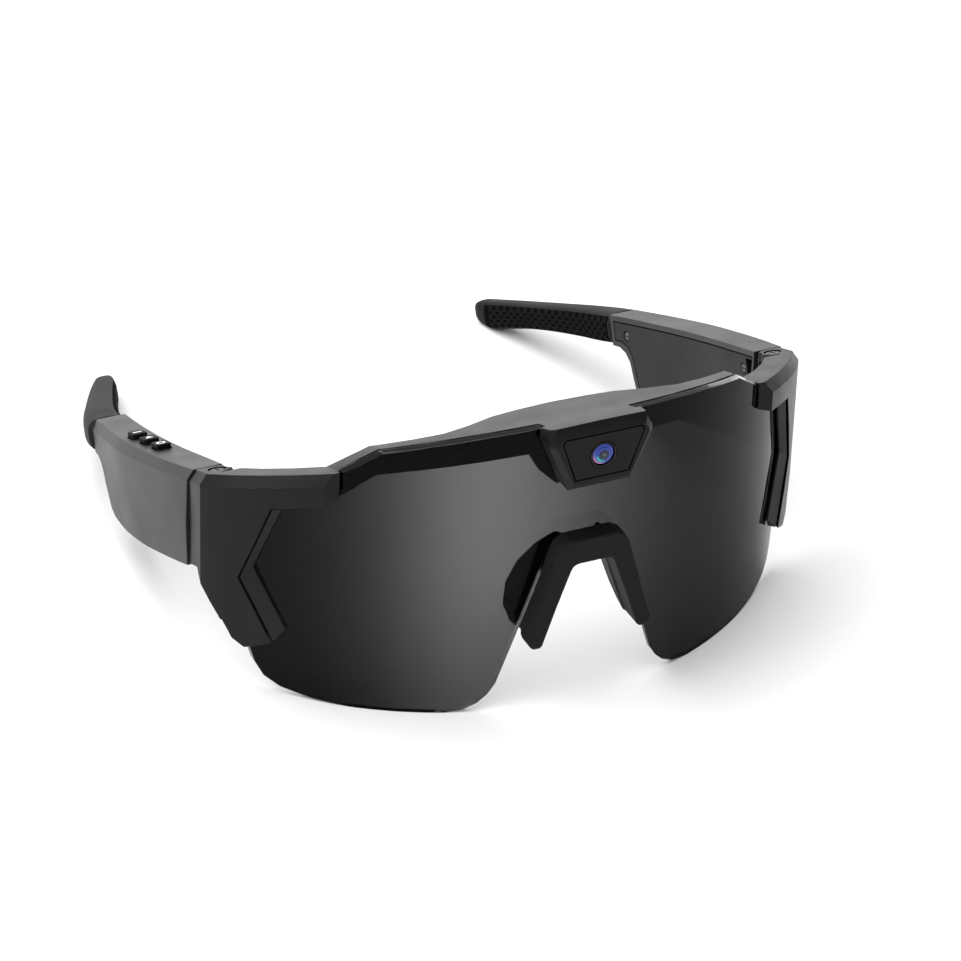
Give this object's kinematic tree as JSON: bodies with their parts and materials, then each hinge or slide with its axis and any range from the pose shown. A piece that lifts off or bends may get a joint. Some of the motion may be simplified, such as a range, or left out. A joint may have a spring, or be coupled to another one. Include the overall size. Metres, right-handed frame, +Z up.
{
  "type": "smart glasses",
  "caption": "Wraparound smart glasses with a dark one-piece lens, a camera over the nose, a soft nose bridge, push buttons on one temple and folding temples with rubber tips.",
  "frame": {"origin": "middle of the bounding box's bottom: the floor plane under the open glasses, halfway along their length", "axes": "+Z up, -Y the way the glasses look, +X the wearer's left; the glasses stand open on the lens's bottom edges and the ear tips"},
  "size_m": [0.1614, 0.182, 0.0802],
  "materials": {
    "frame_plastic": "fine moulded matt black",
    "temple_plastic": "satin painted charcoal",
    "cover_plastic": "matt black",
    "trim_plastic": "satin charcoal",
    "plate_plastic": "satin black",
    "dark_lens": "dark grey tinted, polished",
    "gloss_black": "polished black",
    "key_plastic": "satin black with white marks",
    "camera_glass": "blue coated",
    "circuit_board": "green solder mask",
    "ribbon": "amber film",
    "nose_rubber": "matt black silicone",
    "tip_rubber": "matt black, soft",
    "dark_steel": "blackened",
    "cell_foil": "dull foil",
    "tin_plate": "tinned"
  },
  "bodies": {
    "front": {"front_frame": "frame_plastic", "shield_lens": "dark_lens", "chevron_left": "trim_plastic", "chevron_right": "trim_plastic", "camera_face_plate": "plate_plastic", "camera_barrel": "gloss_black", "camera_front_glass": "camera_glass", "camera_sensor": "gloss_black", "camera_board": "circuit_board", "camera_ribbon": "ribbon", "camera_rear_housing": "cover_plastic", "nose_piece": "nose_rubber", "hinge_screw_left": "dark_steel", "hinge_screw_right": "dark_steel"},
    "temple_left": {"temple_case_left": "temple_plastic", "temple_cover_left": "cover_plastic", "temple_hinge_left": "dark_steel", "ear_tip_left": "tip_rubber", "battery_left": "cell_foil", "cover_screw_left_1": "dark_steel", "cover_screw_left_2": "dark_steel", "cover_screw_left_3": "dark_steel", "cover_screw_left_4": "dark_steel", "charge_board_left": "circuit_board"},
    "temple_right": {"temple_case_right": "temple_plastic", "temple_cover_right": "cover_plastic", "temple_hinge_right": "dark_steel", "ear_tip_right": "tip_rubber", "battery_right": "cell_foil", "cover_screw_right_1": "dark_steel", "cover_screw_right_2": "dark_steel", "cover_screw_right_3": "dark_steel", "cover_screw_right_4": "dark_steel", "main_board_right": "circuit_board", "key_board_right": "circuit_board", "card_holder_right": "tin_plate", "charge_socket_right": "tin_plate", "key_switch_front": "tin_plate", "key_switch_middle": "tin_plate", "key_switch_rear": "tin_plate"},
    "key_front": {"button_front": "key_plastic"},
    "key_middle": {"button_middle": "key_plastic"},
    "key_rear": {"button_rear": "key_plastic"}
  },
  "joints": [
    {"name": "fold_left", "type": "hinge", "parent": "front", "child": "temple_left", "pos_m": [0.0733, -0.03672, 0.0542], "axis": [0, 0.3551, 0.9348], "range_deg": [0, 80]},
    {"name": "fold_right", "type": "hinge", "parent": "front", "child": "temple_right", "pos_m": [-0.0733, -0.03672, 0.0542], "axis": [0, 0.3551, 0.9348], "range_deg": [-68, 0]},
    {"name": "press_front", "type": "slide", "parent": "temple_right", "child": "key_front", "axis": [0, 0.3551, 0.9348], "range_m": [-0.0005, 0], "stiffness_N_per_m": 800},
    {"name": "press_middle", "type": "slide", "parent": "temple_right", "child": "key_middle", "axis": [0, 0.3551, 0.9348], "range_m": [-0.0005, 0], "stiffness_N_per_m": 800},
    {"name": "press_rear", "type": "slide", "parent": "temple_right", "child": "key_rear", "axis": [0, 0.3551, 0.9348], "range_m": [-0.0005, 0], "stiffness_N_per_m": 800}
  ]
}
